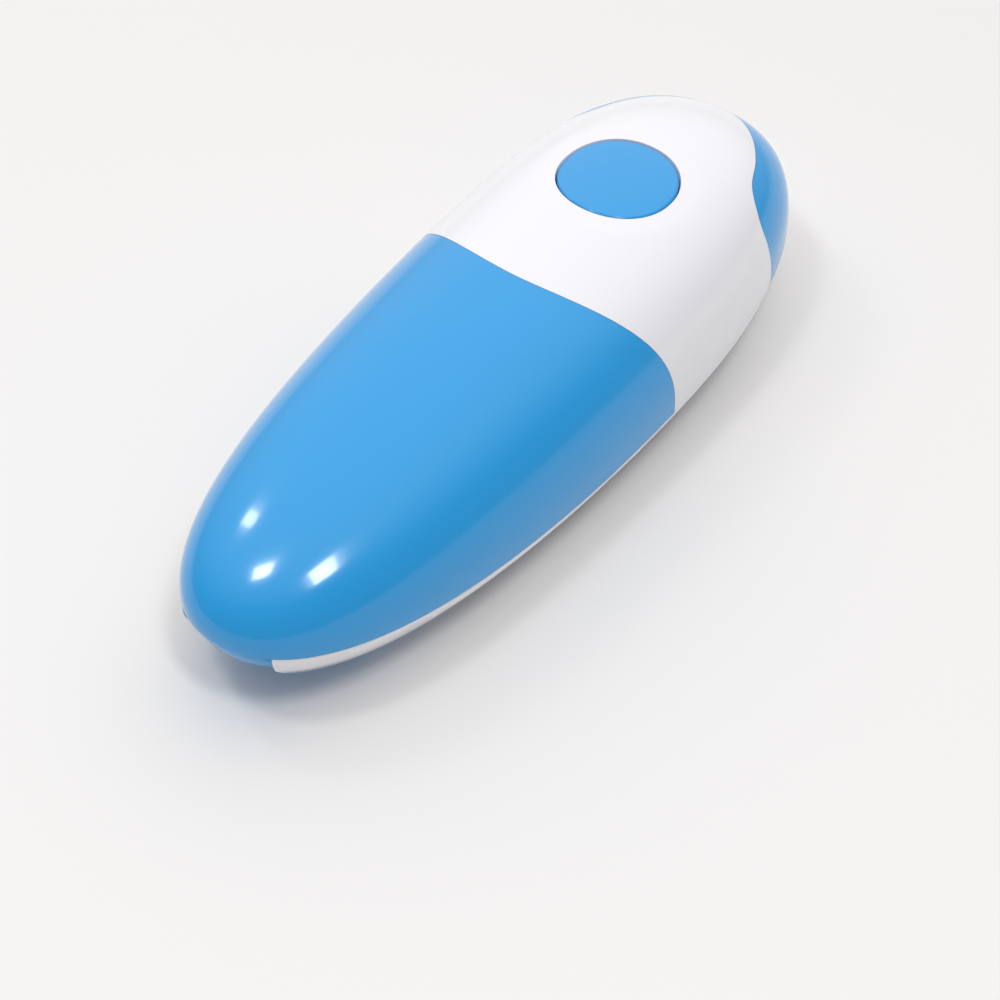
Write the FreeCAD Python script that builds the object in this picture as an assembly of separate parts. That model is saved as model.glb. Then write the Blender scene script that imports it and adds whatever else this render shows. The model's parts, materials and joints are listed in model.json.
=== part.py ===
import FreeCAD, Part
import math
import os

# Hands-free battery can opener, millimetres, +Z up.
# +X points to the head, -X to the tail, and the object is symmetric about y = 0.
# Origin: middle of the bounding box in plan, z = 0 is the plane it stands on.
V = FreeCAD.Vector

# ---- body shape -------------------------------------------------------------
HALF_LENGTH = 90.1      # half of the plan outline's length
HALF_WIDTH = 32.5       # plan half width before the head is widened
OUTLINE_POWER = 0.925   # plan outline: superellipse power
HEAD_WIDER = 0.156      # widens the head and narrows the tail
ENDS_FULLER = 0.202     # fills both ends
DOME_HEIGHT = 29.4      # crown above the middle of the parting line
DOME_POWER = 2.478      # section of the dome: superellipse power
CROWN_X = 28.6          # highest point of the dome
PARTING_BOW = 8.1       # rise of the parting line at both ends
BELLY_DEPTH = 2.5       # flat underside below the middle of the parting line
BELLY_POWER = 2.3       # rounding between the parting line and the underside
GUIDE_Z = 8.0           # flat underside, which lies on the can's rim
PART_Z = GUIDE_Z + BELLY_DEPTH
WALL = 2.0              # thickness of the shells
FLOOR_Z = GUIDE_Z + WALL
SEAM_GAP = 0.2          # gap between neighbouring covers
RING_POINTS = 48        # points on each level of the body
FAR = 200.0             # reach of the cutting tools

# ---- covers -----------------------------------------------------------------
SEAM_X = 4.8            # seam between tail cover and head shell, on the centre line
SEAM_CURVE = 0.0105     # how the seam sweeps to the head, per mm of y squared
BUTTON_X = 42.7
BUTTON_HALF_LENGTH = 12.7
BUTTON_HALF_WIDTH = 12.5
BUTTON_PROUD = 0.15     # button above the dome
BUTTON_GAP = 0.3
BUTTON_WALL = 1.8
BUTTON_FLANGE_Z = 33.7
FLANGE_THICKNESS = 0.9
SLEEVE_Z = 34.8
DOOR_HALF_WIDTH = 16.3
DOOR_TAB_HALF_WIDTH = 10.7
DOOR_FRONT_X = -17.0
DOOR_SUNK_X = -81.5     # the door's end beyond this line is sunk, as a grip for a finger
DOOR_SUNK = 1.2
HINGE_X = DOOR_FRONT_X - 0.1   # the door swings about this line in the underside

# ---- can rim that the mechanism works on --------------------------------------
RIM_OUTER_RADIUS = 38.1
RIM_THICKNESS = 1.3
WHEEL_RADIUS = 5.0
DRIVE_X = RIM_OUTER_RADIUS - RIM_THICKNESS - WHEEL_RADIUS
CUTTER_RADIUS = 7.5
CUTTER_PARKED_GAP = 5.2
CUTTER_X = RIM_OUTER_RADIUS - RIM_THICKNESS + CUTTER_PARKED_GAP + CUTTER_RADIUS
PIVOT_X = 50.0
PIVOT_Y = -13.0

# ---- gear train ---------------------------------------------------------------
PRESSURE_ANGLE = 25.0
TOOTH_THINNING = 0.07   # each tooth is this much thinner than half the pitch
CROWN_TEETH = 36
MOTOR_TEETH = 9
CROWN_MODULE = 0.6
FIRST_TEETH = 10
MIDDLE_TEETH = 42
FIRST_MODULE = 0.6
SECOND_TEETH = 12
THIRD_TEETH = 48
SECOND_MODULE = 0.6
LAST_TEETH = 10
DRIVE_TEETH = 30
DRIVE_MODULE = 0.9
FIRST_DISTANCE = FIRST_MODULE * (FIRST_TEETH + MIDDLE_TEETH) / 2
LAST_DISTANCE = DRIVE_MODULE * (LAST_TEETH + DRIVE_TEETH) / 2
CROWN_RADIUS = CROWN_MODULE * CROWN_TEETH / 2
MOTOR_Y = -14.0
CROWN_X_POS = DRIVE_X - math.sqrt(FIRST_DISTANCE ** 2 - MOTOR_Y ** 2)
THIRD_ANGLE = 20.0
THIRD_X = DRIVE_X + LAST_DISTANCE * math.cos(math.radians(THIRD_ANGLE))
THIRD_Y = LAST_DISTANCE * math.sin(math.radians(THIRD_ANGLE))

PLATE_Z = FLOOR_Z
PLATE_THICKNESS = 1.5
DRIVE_GEAR_Z = (11.8, 16.0)
CROWN_DISC_Z = (16.3, 18.3)
CROWN_TIP_Z = 19.6
MIDDLE_GEAR_Z = (19.9, 21.9)
SECOND_PINION_TOP = 25.1
THIRD_GEAR_Z = (22.2, 25.0)
COVER_Z = 25.5
BOARD_Z = 28.0
BOARD_THICKNESS = 1.2
MOTOR_Z = 19.1 + CROWN_MODULE * MOTOR_TEETH / 2

# ---- battery cells --------------------------------------------------------------
CELL_RADIUS = 7.2
CELL_LENGTH = 50.5
CELL_Y = 7.6
CELL_Z = FLOOR_Z + 0.4 + CELL_RADIUS
TRAY_TAIL_X = -73.0
TRAY_FRONT_X = -18.0
CONTACT_THICKNESS = 0.4

# ---- screws -----------------------------------------------------------------------
HEAD_SCREWS = [(67.0, 7.0), (67.0, -7.0)]
TAIL_SCREWS = [(-42.0, 20.5), (-42.0, -20.5)]
BOSS_RADIUS = 3.2
HEAD_BOSS_TOP = 22.0
TAIL_BOSS_TOP = 18.0
PLATE_SCREWS = [(19.0, 17.5), (19.0, -17.5), (56.0, 15.0), (35.0, -18.5)]
GEARBOX_POSTS = [(17.5, 12.0), (38.0, 21.5), (44.0, -19.0), (59.0, -12.5)]


# ---- basic solids -----------------------------------------------------------------
def cylinder(radius, bottom, top, x=0.0, y=0.0):
    return Part.makeCylinder(radius, top - bottom, V(x, y, bottom))


def rod(radius, x_from, x_to, y, z):
    return Part.makeCylinder(radius, x_to - x_from, V(x_from, y, z), V(1, 0, 0))


def box(x_from, x_to, y_from, y_to, z_from, z_to):
    return Part.makeBox(x_to - x_from, y_to - y_from, z_to - z_from, V(x_from, y_from, z_from))


def tube(outer, inner, bottom, top, x=0.0, y=0.0):
    return cylinder(outer, bottom, top, x, y).cut(cylinder(inner, bottom - 1, top + 1, x, y))


def join(shapes):
    shapes = list(shapes)
    if len(shapes) == 1:
        return shapes[0]
    return shapes[0].multiFuse(shapes[1:]).removeSplitter()


def prism(wire, bottom, top):
    shift = V(0, 0, bottom - wire.BoundBox.ZMin)
    face = Part.Face(wire)
    face.translate(shift)
    return face.extrude(V(0, 0, top - bottom))


def polygon(points, z=0.0):
    vectors = [V(x, y, z) for x, y in points]
    return Part.makePolygon(vectors + [vectors[0]])


def rounded_plate(points, corner, bottom, top):
    """Plate whose corners are arcs of the given radius round the given points."""
    outline = Part.Face(polygon(points)).makeOffset2D(corner)
    return prism(outline.OuterWire, bottom, top)


def link(x1, y1, x2, y2, radius, bottom, top):
    """Flat bar with round ends between two centres."""
    length = math.hypot(x2 - x1, y2 - y1)
    bar = Part.makeBox(length, 2 * radius, top - bottom, V(0, -radius, 0))
    bar.rotate(V(0, 0, 0), V(0, 0, 1), math.degrees(math.atan2(y2 - y1, x2 - x1)))
    bar.translate(V(x1, y1, bottom))
    return join([bar, cylinder(radius, bottom, top, x1, y1), cylinder(radius, bottom, top, x2, y2)])


# ---- body surface -----------------------------------------------------------------
def parting_rise(x):
    return PARTING_BOW * (x / HALF_LENGTH) ** 2


def body_point(angle, level, inset):
    """Point of the body's surface, moved inward by inset, at a level above the parting middle."""
    length = HALF_LENGTH - inset
    width = HALF_WIDTH - inset
    dome = DOME_HEIGHT - inset
    c = math.cos(angle)
    s = math.sin(angle)
    x = length * math.copysign(abs(c) ** OUTLINE_POWER, c)
    y = width * math.copysign(abs(s) ** OUTLINE_POWER, s)
    y *= 1 + HEAD_WIDER * c + ENDS_FULLER * c * c
    edge = parting_rise(x)
    if level >= edge:
        rise = min((level - edge) / (dome - edge), 1.0)
        scale = (1 - rise ** DOME_POWER) ** (1 / DOME_POWER)
        return V(CROWN_X + (x - CROWN_X) * scale, y * scale, PART_Z + level)
    depth = edge + BELLY_DEPTH - inset
    drop = min((edge - level) / depth, 1.0)
    tuck = depth * (1 - (1 - drop ** BELLY_POWER) ** (1 / BELLY_POWER))
    return V(x * (1 - tuck / length), y * (1 - tuck / width), PART_Z + level)


def body_ring(level, inset):
    points = [body_point(2 * math.pi * k / RING_POINTS, level, inset) for k in range(RING_POINTS)]
    curve = Part.BSplineCurve()
    curve.interpolate(Points=points, PeriodicFlag=True)
    return Part.Wire(curve.toShape())


def body_solid(inset):
    """The whole body as one solid, in narrow bands, all surfaces moved inward by inset."""
    bottom = inset - BELLY_DEPTH
    top = DOME_HEIGHT - inset
    belly = [0.0, 0.12, 0.4, 0.85, 1.5, 2.4]
    levels = [bottom + step for step in belly]
    dome = [0.11, 0.18, 0.26, 0.34, 0.42, 0.5, 0.575, 0.645, 0.71, 0.77, 0.82, 0.865, 0.9, 0.93,
            0.955, 0.975, 0.99, 0.997]
    levels += [top * part for part in dome]
    return Part.makeLoft([body_ring(level, inset) for level in levels], True, True)


def above_parting(offset=0.0):
    """Everything above the bowed parting surface."""
    reach = 120.0
    rise = parting_rise(reach)
    curve = Part.BezierCurve()
    base = PART_Z + offset
    curve.setPoles([V(-reach, -FAR / 2, base + rise), V(0, -FAR / 2, base - rise),
                    V(reach, -FAR / 2, base + rise)])
    roof = Part.makePolygon([V(reach, -FAR / 2, base + rise), V(reach, -FAR / 2, FAR),
                             V(-reach, -FAR / 2, FAR), V(-reach, -FAR / 2, base + rise)])
    face = Part.Face(Part.Wire([curve.toShape()] + roof.Edges))
    return face.extrude(V(0, FAR, 0))


def tail_region(offset):
    """Everything on the tail side of the curved seam, moved towards the head by offset."""
    reach = 60.0
    rise = SEAM_CURVE * reach ** 2
    middle = SEAM_X + offset
    curve = Part.BezierCurve()
    curve.setPoles([V(middle + rise, -reach, 0), V(middle - rise, 0, 0), V(middle + rise, reach, 0)])
    back = Part.makePolygon([V(middle + rise, reach, 0), V(-FAR, reach, 0), V(-FAR, -reach, 0),
                             V(middle + rise, -reach, 0)])
    return prism(Part.Wire([curve.toShape()] + back.Edges), 0, 60)


def cap_region(gap):
    """Plan area of the nose cap: a band round the nose with two arms along the sides."""
    half = [(85.2, 0.0), (83.3, 5.5), (77.8, 12.0), (70.8, 17.0), (63.4, 20.6), (59.3, 24.6),
            (57.7, 28.4), (59.5, 36.0)]
    right = [V(x + 0.7 * gap, -y - 0.7 * gap if y else 0.0, 0) for x, y in half]
    left = [V(p.x, -p.y, 0) for p in reversed(right[1:])]
    points = left + right
    curve = Part.BSplineCurve()
    curve.interpolate(Points=points)
    outside = Part.makePolygon([points[-1], V(FAR, points[-1].y, 0), V(FAR, points[0].y, 0), points[0]])
    return prism(Part.Wire([curve.toShape()] + outside.Edges), 0, 60)


def button_wire(grow):
    """Outline of the button, grown outward by grow."""
    points = []
    for k in range(RING_POINTS):
        angle = 2 * math.pi * k / RING_POINTS
        c = math.cos(angle)
        s = math.sin(angle)
        x = (BUTTON_HALF_LENGTH + grow) * math.copysign(abs(c) ** 0.95, c)
        y = (BUTTON_HALF_WIDTH + grow) * math.copysign(abs(s) ** 0.95, s)
        points.append(V(BUTTON_X + x, y, 0))
    curve = Part.BSplineCurve()
    curve.interpolate(Points=points, PeriodicFlag=True)
    return Part.Wire(curve.toShape())


def door_region(gap):
    """Plan area of the battery door, made smaller all round by gap."""
    wide = DOOR_HALF_WIDTH - gap
    tab = DOOR_TAB_HALF_WIDTH - gap
    front = DOOR_FRONT_X - gap
    return prism(polygon([(front, -wide), (front, wide), (-70.0, wide), (-79.0, tab), (-FAR, tab),
                          (-FAR, -tab), (-79.0, -tab), (-70.0, -wide)]), 0, 60)


# ---- covers -------------------------------------------------------------------------
def make_covers():
    outer = body_solid(0.0)
    inner = body_solid(WALL)
    middle = body_solid(WALL / 2)
    above = above_parting(SEAM_GAP / 2)
    shell = outer.cut(inner)
    upper = shell.common(above)
    below = shell.cut(above_parting(-SEAM_GAP / 2))
    covers = {}
    covers["tail_cover"] = make_tail_cover(upper, middle)
    covers["front_cap"] = upper.common(cap_region(SEAM_GAP))
    covers["upper_housing"] = make_upper_housing(upper, middle)
    covers["power_button"] = make_button()
    covers["lower_housing"] = make_lower_housing(below)
    covers["battery_door"] = make_door(below)
    return covers


def pillar(x, y, bottom, middle):
    """Screw pillar that hangs from the inside of a cover."""
    solid = cylinder(BOSS_RADIUS, bottom, 60, x, y).common(middle)
    return solid.cut(cylinder(1.25, bottom - 1, bottom + 8, x, y))


def make_tail_cover(upper, middle):
    cover = upper.common(tail_region(-SEAM_GAP / 2))
    pillars = [pillar(x, y, TAIL_BOSS_TOP + 0.2, middle) for x, y in TAIL_SCREWS]
    return join([cover] + pillars)


def make_upper_housing(upper, middle):
    shell = upper.cut(tail_region(SEAM_GAP / 2)).cut(cap_region(0.0))
    sleeve = prism(button_wire(BUTTON_GAP + 1.8), SLEEVE_Z, 60).common(middle)
    pillars = [pillar(x, y, HEAD_BOSS_TOP + 0.2, middle) for x, y in HEAD_SCREWS]
    housing = join([shell, sleeve] + pillars)
    return housing.cut(prism(button_wire(BUTTON_GAP), SLEEVE_Z - 5, 60))


def make_button():
    top = body_solid(-BUTTON_PROUD)
    under = body_solid(1.4)
    cap = prism(button_wire(0.0), BUTTON_FLANGE_Z, 60).common(top)
    hollow = prism(button_wire(-BUTTON_WALL), BUTTON_FLANGE_Z - 1, 60).common(under)
    flange = prism(button_wire(1.2), BUTTON_FLANGE_Z, BUTTON_FLANGE_Z + FLANGE_THICKNESS)
    skin = join([cap, flange]).cut(hollow)
    stem = cylinder(1.7, SWITCH_TOP, 38.3, BUTTON_X)
    seat = tube(6.2, 4.4, SPRING_TOP, 38.3, BUTTON_X)
    return join([skin, stem, seat])


def guard_wire(half_width, back, z):
    """U-shaped outline round the front of the cutter, open towards the tail."""
    centre = 56.0
    arc = Part.Arc(V(centre, -half_width, z), V(centre + half_width, 0, z), V(centre, half_width, z))
    sides = Part.makePolygon([V(centre, half_width, z), V(back, half_width, z),
                              V(back, -half_width, z), V(centre, -half_width, z)])
    return Part.Wire([arc.toShape()] + sides.Edges)


def make_lower_housing(below):
    shell = below.cut(door_region(0.0))
    guard = Part.makeLoft([guard_wire(20.5, 45, 0), guard_wire(21.5, 45, GUIDE_Z + 1)], True, True)
    hollow = Part.makeLoft([guard_wire(18.7, 40, -1), guard_wire(19.7, 40, GUIDE_Z + 2)], True, True)
    guard = guard.cut(hollow)
    bosses = [cylinder(BOSS_RADIUS, GUIDE_Z, HEAD_BOSS_TOP, x, y) for x, y in HEAD_SCREWS]
    bosses += [cylinder(BOSS_RADIUS, GUIDE_Z + 0.5, TAIL_BOSS_TOP, x, y) for x, y in TAIL_SCREWS]
    bosses += [cylinder(2.6, 5.0, FLOOR_Z, x, y) for x, y in PLATE_SCREWS]
    saddles = [box(x, x + 1.6, MOTOR_Y - 9, MOTOR_Y + 9, GUIDE_Z + 1, MOTOR_Z - 7.6) for x in (-8.0, 3.0)]
    housing = join([shell, guard] + bosses + saddles)
    opening = rounded_plate([(27, -8), (27, 8), (46, 11), (52, 11), (60, 3), (60, -8), (54, -14),
                             (46, -14)], 4.0, -1, 20)
    holes = [cylinder(1.6, -1, 40, x, y) for x, y in HEAD_SCREWS + TAIL_SCREWS]
    holes += [cylinder(3.0, -1, GUIDE_Z + 2.4, x, y) for x, y in HEAD_SCREWS + TAIL_SCREWS]
    holes += [cylinder(0.85, 5.6, 20, x, y) for x, y in PLATE_SCREWS]
    stake = cylinder(2.05, -1, 20, MAGNET_X, 0)
    for tool in [opening, stake] + holes:
        housing = housing.cut(tool)
    return housing


def heel_wire(x_from, x_to, half_width, corner, z):
    points = [(x_from + corner, -half_width + corner), (x_to - corner, -half_width + corner),
              (x_to - corner, half_width - corner), (x_from + corner, half_width - corner)]
    wire = Part.Face(polygon(points)).makeOffset2D(corner).OuterWire
    wire.translate(V(0, 0, z))
    return wire


def door_hook(y):
    """Finger curved round the hinge line, so that it stays in its gap as the door swings."""
    width = 3.0
    ring = Part.makeCylinder(3.4, width, V(HINGE_X, y - width / 2, GUIDE_Z), V(0, 1, 0))
    ring = ring.cut(Part.makeCylinder(2.2, width + 2, V(HINGE_X, y - width, GUIDE_Z), V(0, 1, 0)))
    root = box(HINGE_X - 4, HINGE_X - 1, y - width, y + width, GUIDE_Z + 1, 20)
    finger = box(HINGE_X - 1, HINGE_X + 4, y - width, y + width, FLOOR_Z + 0.2, 20)
    return ring.common(join([root, finger]))


def make_door(below):
    """Battery door: the underside of the tail, its sunk end, the hollow heel, hooks and grip ridges."""
    sunk = box(-120, DOOR_SUNK_X, -30, 30, 0, 60).cut(body_solid(DOOR_SUNK))
    plate = below.common(door_region(SEAM_GAP)).cut(sunk)
    heel = Part.makeLoft([heel_wire(-66, -46, 10.5, 4, 0), heel_wire(-71, -42, 14.0, 6, FLOOR_Z - 0.8)],
                         True, True)
    hollow = Part.makeLoft([heel_wire(-64, -48, 8.5, 3, 2), heel_wire(-69, -44, 12.0, 5, FLOOR_Z + 1)],
                           True, True)
    hooks = [door_hook(y) for y in (-13.7, 13.7)]
    ridges = [box(x, x + 0.9, -8, 8, GUIDE_Z - 0.5, GUIDE_Z + 0.5) for x in (-34, -31.5, -29, -26.5)]
    return join([plate, heel] + hooks + ridges).cut(hollow)


# ---- gears ---------------------------------------------------------------------------
def involute_point(base, radius, side, turn):
    roll = math.sqrt(max((radius / base) ** 2 - 1, 0))
    angle = turn + side * (roll - math.atan(roll))
    return radius * math.cos(angle), radius * math.sin(angle)


def gear_wire(module, teeth, tooth_at):
    """Outline of an involute gear with one tooth centred at the angle tooth_at, in radians."""
    pressure = math.radians(PRESSURE_ANGLE)
    pitch = module * teeth / 2
    base = pitch * math.cos(pressure)
    tip = pitch + 0.8 * module
    root = pitch - 1.15 * module
    start = max(base, root)
    half = (math.pi * module / 2 - TOOTH_THINNING) / 2 / pitch
    flare = half + math.tan(pressure) - pressure
    steps = [start + (tip - start) * part for part in (0.0, 0.2, 0.45, 0.7, 1.0)]
    points = []
    for tooth in range(teeth):
        centre = tooth_at + 2 * math.pi * tooth / teeth
        rising = [involute_point(base, radius, 1, centre - flare) for radius in steps]
        falling = [involute_point(base, radius, -1, centre + flare) for radius in reversed(steps)]
        foot = flare
        if root < base:
            rising.insert(0, (root * math.cos(centre - foot), root * math.sin(centre - foot)))
            falling.append((root * math.cos(centre + foot), root * math.sin(centre + foot)))
        points += rising + falling
    return polygon(points)


def spur_gear(module, teeth, bottom, top, x, y, tooth_at):
    gear = prism(gear_wire(module, teeth, tooth_at), bottom, top)
    gear.translate(V(x, y, 0))
    return gear


def meshed_tooth(own_teeth, line_angle, other_teeth, other_tooth_at):
    """Angle of a tooth that meshes with another gear, whose centre-to-centre line has line_angle."""
    phase = other_teeth * (other_tooth_at - line_angle) / (2 * math.pi)
    return line_angle + math.pi + 2 * math.pi / own_teeth * (0.5 - phase)


def make_drive_gear():
    bottom, top = DRIVE_GEAR_Z
    gear = spur_gear(DRIVE_MODULE, DRIVE_TEETH, bottom, top, DRIVE_X, 0, 0.0)
    hub = cylinder(3.1, top - 1, MIDDLE_GEAR_Z[0] - 0.2, DRIVE_X)
    pocket = tube(10.5, 4.5, top - 1.2, top + 1, DRIVE_X)
    flat_shaft = drive_shaft_section(0.03, bottom - 1, MIDDLE_GEAR_Z[0] + 1)
    return join([gear.cut(pocket), hub]).cut(flat_shaft)


def drive_shaft_section(grow, bottom, top):
    """Round shaft with a flat, so that what it carries cannot slip."""
    shaft = cylinder(2.5 + grow, bottom, top, DRIVE_X)
    return shaft.cut(box(DRIVE_X + 2.0 + grow, DRIVE_X + 6, -6, 6, bottom - 1, top + 1))


def make_drive_shaft():
    turned = cylinder(2.5, GUIDE_Z - 0.4, DRIVE_GEAR_Z[0], DRIVE_X)
    keyed = drive_shaft_section(0.0, DRIVE_GEAR_Z[0] - 0.1, MIDDLE_GEAR_Z[0] - 0.2)
    journal = cylinder(2.0, MIDDLE_GEAR_Z[0] - 1, COVER_Z + 1.9, DRIVE_X)
    end = drive_shaft_section(0.0, 2.0, GUIDE_Z)
    return join([turned, keyed, journal, end])


def make_drive_wheel():
    """Hardened wheel with pointed teeth that grips the inside of the rim."""
    teeth = 26
    points = []
    for k in range(teeth):
        for part, radius in ((0.0, WHEEL_RADIUS - 0.55), (0.5, WHEEL_RADIUS)):
            angle = 2 * math.pi * (k + part) / teeth
            points.append((radius * math.cos(angle), radius * math.sin(angle)))
    wheel = prism(polygon(points), 3.0, 6.6)
    collar = cylinder(3.6, 6.6, GUIDE_Z - 0.4)
    nose = Part.makeCone(3.0, 3.8, 0.8, V(0, 0, 2.2))
    wheel = join([wheel, collar, nose])
    wheel.translate(V(DRIVE_X, 0, 0))
    return wheel.cut(drive_shaft_section(0.03, 0, GUIDE_Z))


def make_third_gear():
    line = math.radians(THIRD_ANGLE)
    low, high = THIRD_GEAR_Z
    big_at = meshed_tooth(THIRD_TEETH, line, SECOND_TEETH, 0.0)
    small_at = meshed_tooth(LAST_TEETH, line, DRIVE_TEETH, 0.0)
    big = spur_gear(SECOND_MODULE, THIRD_TEETH, low, high, THIRD_X, THIRD_Y, big_at)
    pocket = tube(12.0, 4.6, low - 1, low + 0.9, THIRD_X, THIRD_Y)
    small = spur_gear(DRIVE_MODULE, LAST_TEETH, *DRIVE_GEAR_Z, THIRD_X, THIRD_Y, small_at)
    hub = cylinder(3.4, DRIVE_GEAR_Z[1] - 0.5, low + 1, THIRD_X, THIRD_Y)
    return join([big.cut(pocket), small, hub]).cut(cylinder(1.55, 0, 60, THIRD_X, THIRD_Y))


def make_middle_gear():
    low, high = MIDDLE_GEAR_Z
    big = spur_gear(FIRST_MODULE, MIDDLE_TEETH, low, high, DRIVE_X, 0, 0.0)
    small = spur_gear(SECOND_MODULE, SECOND_TEETH, high - 0.3, SECOND_PINION_TOP, DRIVE_X, 0, 0.0)
    return join([big, small]).cut(cylinder(2.05, 0, 60, DRIVE_X))


def crown_tooth(angle):
    """Straight radial tooth with slanted flanks on the upper face of the crown gear."""
    pitch_z = MOTOR_Z - CROWN_MODULE * MOTOR_TEETH / 2
    slope = math.tan(math.radians(PRESSURE_ANGLE))
    half = 0.31
    bottom = CROWN_DISC_Z[1] - 0.2
    top = pitch_z + 0.45
    low_half = half + (pitch_z - bottom) * slope
    top_half = half - (top - pitch_z) * slope
    inner = CROWN_RADIUS - 1.2
    section = Part.makePolygon([V(inner, -low_half, bottom), V(inner, low_half, bottom),
                                V(inner, top_half, top), V(inner, -top_half, top),
                                V(inner, -low_half, bottom)])
    tooth = Part.Face(section).extrude(V(2.4, 0, 0))
    tooth.rotate(V(0, 0, 0), V(0, 0, 1), math.degrees(angle))
    return tooth


def make_crown_gear():
    disc = cylinder(CROWN_RADIUS + 1.1, *CROWN_DISC_Z)
    step = 2 * math.pi / CROWN_TEETH
    teeth = [crown_tooth(math.pi + step * (k + 0.5)) for k in range(CROWN_TEETH)]
    line = math.atan2(-MOTOR_Y, DRIVE_X - CROWN_X_POS)
    small_at = meshed_tooth(FIRST_TEETH, line + math.pi, MIDDLE_TEETH, 0.0)
    small = spur_gear(FIRST_MODULE, FIRST_TEETH, CROWN_DISC_Z[1] - 0.5, MIDDLE_GEAR_Z[1], 0, 0, small_at)
    hub = cylinder(3.0, DRIVE_GEAR_Z[1] + 0.1, CROWN_DISC_Z[0] + 0.5)
    gear = join([disc, small, hub] + teeth)
    gear.translate(V(CROWN_X_POS, MOTOR_Y, 0))
    return gear.cut(cylinder(1.05, 0, 60, CROWN_X_POS, MOTOR_Y))


def make_motor_pinion():
    """Brass pinion on the motor shaft, one tooth pointing straight down between two crown teeth."""
    length = 3.2
    wire = gear_wire(CROWN_MODULE, MOTOR_TEETH, 0.0)
    pinion = prism(wire, 0, length).cut(cylinder(1.0, -1, length + 1))
    pinion.rotate(V(0, 0, 0), V(0, 1, 0), 90)
    middle = CROWN_X_POS - CROWN_RADIUS
    pinion.translate(V(middle - length / 2, MOTOR_Y, MOTOR_Z))
    return pinion


# ---- gearbox frame -------------------------------------------------------------------
FRAME_OUTLINE = [(18, 16), (38, 21.5), (56, 15.5), (59, 8), (59, -12.5), (44, -19), (18, -17.5)]


def make_mechanism_plate():
    top = PLATE_Z + PLATE_THICKNESS
    plate = rounded_plate(FRAME_OUTLINE, 3.0, PLATE_Z, top)
    holes = [cylinder(4.0, 0, 30, DRIVE_X), cylinder(2.0, 0, 30, PIVOT_X, PIVOT_Y)]
    holes += [cylinder(1.0, 0, 30, CROWN_X_POS, MOTOR_Y), cylinder(1.5, 0, 30, THIRD_X, THIRD_Y)]
    holes += [cylinder(1.3, 0, 30, x, y) for x, y in PLATE_SCREWS]
    holes += [cylinder(1.2, 0, 30, x, y) for x, y in GEARBOX_POSTS]
    return plate.cut(Part.Compound(holes))


def make_gearbox_cover():
    plate = rounded_plate([(18.3, 12), (38, 21.5), (56, 12), (59, -12.5), (44, -19), (24, -16)], 3.2,
                          COVER_Z, COVER_Z + PLATE_THICKNESS)
    holes = [cylinder(3.25, 0, 40, DRIVE_X)]
    holes += [cylinder(1.0, 0, 40, CROWN_X_POS, MOTOR_Y), cylinder(1.5, 0, 40, THIRD_X, THIRD_Y)]
    holes += [cylinder(1.2, 0, 40, x, y) for x, y in GEARBOX_POSTS]
    pads = [tube(2.2, 0.8, COVER_Z + PLATE_THICKNESS - 0.2, BOARD_Z, x, y) for x, y in BOARD_SCREWS]
    pilots = [cylinder(0.8, COVER_Z - 1, 40, x, y) for x, y in BOARD_SCREWS]
    return join([plate.cut(Part.Compound(holes))] + pads).cut(Part.Compound(pilots))


def make_gearbox_posts():
    low = PLATE_Z + PLATE_THICKNESS
    posts = []
    for x, y in GEARBOX_POSTS:
        body = cylinder(2.4, low, COVER_Z, x, y)
        spigots = cylinder(1.2, PLATE_Z + 0.1, COVER_Z + PLATE_THICKNESS, x, y)
        posts.append(join([body, spigots, cylinder(1.9, COVER_Z + PLATE_THICKNESS, COVER_Z + 2.1, x, y)]))
    return Part.Compound(posts)


def make_axle(radius, x, y):
    return cylinder(radius, PLATE_Z + 0.1, COVER_Z + PLATE_THICKNESS - 0.1, x, y)


def make_lower_bush():
    body = tube(4.0, 2.54, PLATE_Z - 0.2, PLATE_Z + PLATE_THICKNESS, DRIVE_X)
    flange = tube(5.2, 2.54, PLATE_Z - 1.2, PLATE_Z, DRIVE_X)
    return join([body, flange])


def make_upper_bush():
    body = tube(3.25, 2.04, COVER_Z, COVER_Z + PLATE_THICKNESS + 0.2, DRIVE_X)
    flange = tube(4.2, 2.04, COVER_Z + PLATE_THICKNESS, COVER_Z + PLATE_THICKNESS + 0.6, DRIVE_X)
    return join([body, flange])


# ---- cutter -------------------------------------------------------------------------
CARRIER_Z = (7.0, 9.7)
CUTTER_Z = (4.7, 6.7)


def make_cutter_carrier():
    low, high = CARRIER_Z
    arm = link(PIVOT_X, PIVOT_Y, CUTTER_X, 0, 4.6, low, high)
    tail = link(PIVOT_X, PIVOT_Y, 58.5, -9.0, 2.4, low, high)
    post = cylinder(1.2, high - 3.9, high, 58.5, -9.0)
    carrier = join([arm, tail, post])
    carrier = carrier.cut(cylinder(2.04, 0, 20, PIVOT_X, PIVOT_Y))
    return carrier.cut(cylinder(1.5, 0, 20, CUTTER_X, 0))


def make_cutter_wheel():
    """Hardened disc with a bevelled edge."""
    low, high = CUTTER_Z
    edge = low + 0.9
    profile = Part.makePolygon([V(2.04, 0, low), V(5.4, 0, low), V(CUTTER_RADIUS, 0, edge),
                                V(5.6, 0, high), V(2.04, 0, high), V(2.04, 0, low)])
    wheel = Part.Face(profile).revolve(V(0, 0, 0), V(0, 0, 1), 360)
    wheel.translate(V(CUTTER_X, 0, 0))
    return wheel


def make_cutter_screw():
    """Shoulder screw: the cutter turns on the shoulder, the thread holds in the carrier."""
    head = cylinder(3.4, 2.7, 4.4, CUTTER_X)
    shoulder = cylinder(2.0, 4.3, CARRIER_Z[0], CUTTER_X)
    thread = cylinder(1.5, 6.5, CARRIER_Z[1] - 0.1, CUTTER_X)
    slot = box(CUTTER_X - 4, CUTTER_X + 4, -0.45, 0.45, 2, 3.5)
    return join([head, shoulder, thread]).cut(slot)


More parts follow.
